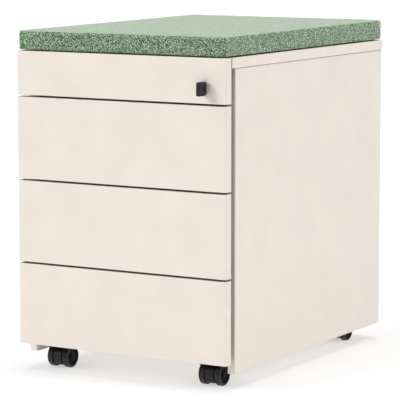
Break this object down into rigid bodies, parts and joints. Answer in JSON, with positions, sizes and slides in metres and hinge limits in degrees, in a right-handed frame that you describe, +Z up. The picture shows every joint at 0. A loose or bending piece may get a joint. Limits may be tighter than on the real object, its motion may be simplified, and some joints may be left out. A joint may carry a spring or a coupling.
{
  "type": "filing cabinet",
  "caption": "Mobile pedestal of sheet steel with handleless full-width drawer fronts, a low pencil drawer with lock and key, twin-wheel castors and a woven seat cushion on top.",
  "frame": {"origin": "on the floor under the middle of the whole outline, with the key in its lock", "axes": "+X to the right across the drawer fronts, +Y to the back, +Z up; the drawers open towards -Y"},
  "size_m": [0.425, 0.628, 0.6065],
  "materials": {
    "cream_powder_coat": "fine-textured matt powder coat",
    "drawer_box_coat": "matt powder coat",
    "slide_steel": "zinc-plated rolled steel",
    "zinc_steel": "bright zinc plating",
    "lock_nickel": "satin nickel",
    "key_black": "matt moulded",
    "castor_black": "moulded nylon",
    "wheel_black": "moulded nylon",
    "hardboard": "dark hardboard",
    "green_weave": "coarse woven upholstery"
  },
  "bodies": {
    "cabinet": {"top_panel": "cream_powder_coat", "left_side_panel": "cream_powder_coat", "right_side_panel": "cream_powder_coat", "left_side_liner": "cream_powder_coat", "right_side_liner": "cream_powder_coat", "back_panel": "cream_powder_coat", "bottom_panel": "cream_powder_coat", "front_crossbar": "cream_powder_coat", "carcass_rivets": "zinc_steel", "cabinet_rails": "slide_steel", "castor_plates": "zinc_steel", "castor_screws": "zinc_steel", "cushion_board": "hardboard", "seat_cushion": "green_weave"},
    "drawer_1": {"drawer_1_front": "cream_powder_coat", "drawer_1_front_liner": "cream_powder_coat", "drawer_1_box": "drawer_box_coat", "drawer_1_rails": "slide_steel", "lock_housing": "lock_nickel", "lock_nut": "zinc_steel"},
    "middle_rails_1": {"drawer_1_middle_rails": "slide_steel"},
    "drawer_2": {"drawer_2_front": "cream_powder_coat", "drawer_2_front_liner": "cream_powder_coat", "drawer_2_box": "drawer_box_coat", "drawer_2_rails": "slide_steel", "drawer_2_lock_catch": "zinc_steel"},
    "middle_rails_2": {"drawer_2_middle_rails": "slide_steel"},
    "drawer_3": {"drawer_3_front": "cream_powder_coat", "drawer_3_front_liner": "cream_powder_coat", "drawer_3_box": "drawer_box_coat", "drawer_3_rails": "slide_steel", "drawer_3_lock_catch": "zinc_steel"},
    "middle_rails_3": {"drawer_3_middle_rails": "slide_steel"},
    "drawer_4": {"drawer_4_front": "cream_powder_coat", "drawer_4_front_liner": "cream_powder_coat", "drawer_4_box": "drawer_box_coat", "drawer_4_rails": "slide_steel", "drawer_4_lock_catch": "zinc_steel"},
    "middle_rails_4": {"drawer_4_middle_rails": "slide_steel"},
    "lock_core": {"lock_plug": "lock_nickel", "lock_cam": "zinc_steel"},
    "key": {"key_blade": "lock_nickel", "key_bow": "key_black"},
    "lock_bar": {"lock_bar": "zinc_steel"},
    "castor_front_left": {"castor_front_left_fork": "castor_black", "castor_front_left_axle": "zinc_steel"},
    "castor_front_left_wheel_left": {"castor_front_left_wheel_left": "wheel_black"},
    "castor_front_left_wheel_right": {"castor_front_left_wheel_right": "wheel_black"},
    "castor_front_right": {"castor_front_right_fork": "castor_black", "castor_front_right_axle": "zinc_steel"},
    "castor_front_right_wheel_left": {"castor_front_right_wheel_left": "wheel_black"},
    "castor_front_right_wheel_right": {"castor_front_right_wheel_right": "wheel_black"},
    "castor_rear_left": {"castor_rear_left_fork": "castor_black", "castor_rear_left_axle": "zinc_steel"},
    "castor_rear_left_wheel_left": {"castor_rear_left_wheel_left": "wheel_black"},
    "castor_rear_left_wheel_right": {"castor_rear_left_wheel_right": "wheel_black"},
    "castor_rear_right": {"castor_rear_right_fork": "castor_black", "castor_rear_right_axle": "zinc_steel"},
    "castor_rear_right_wheel_left": {"castor_rear_right_wheel_left": "wheel_black"},
    "castor_rear_right_wheel_right": {"castor_rear_right_wheel_right": "wheel_black"}
  },
  "joints": [
    {"name": "drawer_1_slide", "type": "slide", "parent": "cabinet", "child": "drawer_1", "axis": [0, -1, 0], "range_m": [0, 0.46]},
    {"name": "middle_rails_1_slide", "type": "slide", "parent": "cabinet", "child": "middle_rails_1", "axis": [0, -1, 0], "range_m": [0, 0.23]},
    {"name": "drawer_2_slide", "type": "slide", "parent": "cabinet", "child": "drawer_2", "axis": [0, -1, 0], "range_m": [0, 0.46]},
    {"name": "middle_rails_2_slide", "type": "slide", "parent": "cabinet", "child": "middle_rails_2", "axis": [0, -1, 0], "range_m": [0, 0.23]},
    {"name": "drawer_3_slide", "type": "slide", "parent": "cabinet", "child": "drawer_3", "axis": [0, -1, 0], "range_m": [0, 0.46]},
    {"name": "middle_rails_3_slide", "type": "slide", "parent": "cabinet", "child": "middle_rails_3", "axis": [0, -1, 0], "range_m": [0, 0.23]},
    {"name": "drawer_4_slide", "type": "slide", "parent": "cabinet", "child": "drawer_4", "axis": [0, -1, 0], "range_m": [0, 0.46]},
    {"name": "middle_rails_4_slide", "type": "slide", "parent": "cabinet", "child": "middle_rails_4", "axis": [0, -1, 0], "range_m": [0, 0.23]},
    {"name": "key_turn", "type": "hinge", "parent": "drawer_1", "child": "lock_core", "pos_m": [0.1725, -0.288, 0.5204], "axis": [0, -1, 0], "range_deg": [0, 90]},
    {"name": "key_withdraw", "type": "slide", "parent": "lock_core", "child": "key", "axis": [0, -1, 0], "range_m": [0, 0.025]},
    {"name": "lock_bar_slide", "type": "slide", "parent": "cabinet", "child": "lock_bar", "axis": [0, 0, 1], "range_m": [0, 0.01]},
    {"name": "castor_front_left_swivel", "type": "hinge", "parent": "cabinet", "child": "castor_front_left", "pos_m": [-0.1575, -0.218, 0.045], "axis": [0, 0, 1], "continuous": true},
    {"name": "castor_front_left_wheel_left_spin", "type": "hinge", "parent": "castor_front_left", "child": "castor_front_left_wheel_left", "pos_m": [-0.1731, -0.231, 0.02], "axis": [1, 0, 0], "continuous": true},
    {"name": "castor_front_left_wheel_right_spin", "type": "hinge", "parent": "castor_front_left", "child": "castor_front_left_wheel_right", "pos_m": [-0.1419, -0.231, 0.02], "axis": [1, 0, 0], "continuous": true},
    {"name": "castor_front_right_swivel", "type": "hinge", "parent": "cabinet", "child": "castor_front_right", "pos_m": [0.1575, -0.218, 0.045], "axis": [0, 0, 1], "continuous": true},
    {"name": "castor_front_right_wheel_left_spin", "type": "hinge", "parent": "castor_front_right", "child": "castor_front_right_wheel_left", "pos_m": [0.1419, -0.231, 0.02], "axis": [1, 0, 0], "continuous": true},
    {"name": "castor_front_right_wheel_right_spin", "type": "hinge", "parent": "castor_front_right", "child": "castor_front_right_wheel_right", "pos_m": [0.1731, -0.231, 0.02], "axis": [1, 0, 0], "continuous": true},
    {"name": "castor_rear_left_swivel", "type": "hinge", "parent": "cabinet", "child": "castor_rear_left", "pos_m": [-0.1575, 0.259, 0.045], "axis": [0, 0, 1], "continuous": true},
    {"name": "castor_rear_left_wheel_left_spin", "type": "hinge", "parent": "castor_rear_left", "child": "castor_rear_left_wheel_left", "pos_m": [-0.1731, 0.246, 0.02], "axis": [1, 0, 0], "continuous": true},
    {"name": "castor_rear_left_wheel_right_spin", "type": "hinge", "parent": "castor_rear_left", "child": "castor_rear_left_wheel_right", "pos_m": [-0.1419, 0.246, 0.02], "axis": [1, 0, 0], "continuous": true},
    {"name": "castor_rear_right_swivel", "type": "hinge", "parent": "cabinet", "child": "castor_rear_right", "pos_m": [0.1575, 0.259, 0.045], "axis": [0, 0, 1], "continuous": true},
    {"name": "castor_rear_right_wheel_left_spin", "type": "hinge", "parent": "castor_rear_right", "child": "castor_rear_right_wheel_left", "pos_m": [0.1419, 0.246, 0.02], "axis": [1, 0, 0], "continuous": true},
    {"name": "castor_rear_right_wheel_right_spin", "type": "hinge", "parent": "castor_rear_right", "child": "castor_rear_right_wheel_right", "pos_m": [0.1731, 0.246, 0.02], "axis": [1, 0, 0], "continuous": true}
  ],
  "couplings": [
    {"joint": "middle_rails_1_slide", "follows": "drawer_1_slide", "ratio": 0.5},
    {"joint": "middle_rails_2_slide", "follows": "drawer_2_slide", "ratio": 0.5},
    {"joint": "middle_rails_3_slide", "follows": "drawer_3_slide", "ratio": 0.5},
    {"joint": "middle_rails_4_slide", "follows": "drawer_4_slide", "ratio": 0.5},
    {"joint": "key_turn", "follows": "lock_bar_slide", "rad_per_m": 157.06}
  ]
}
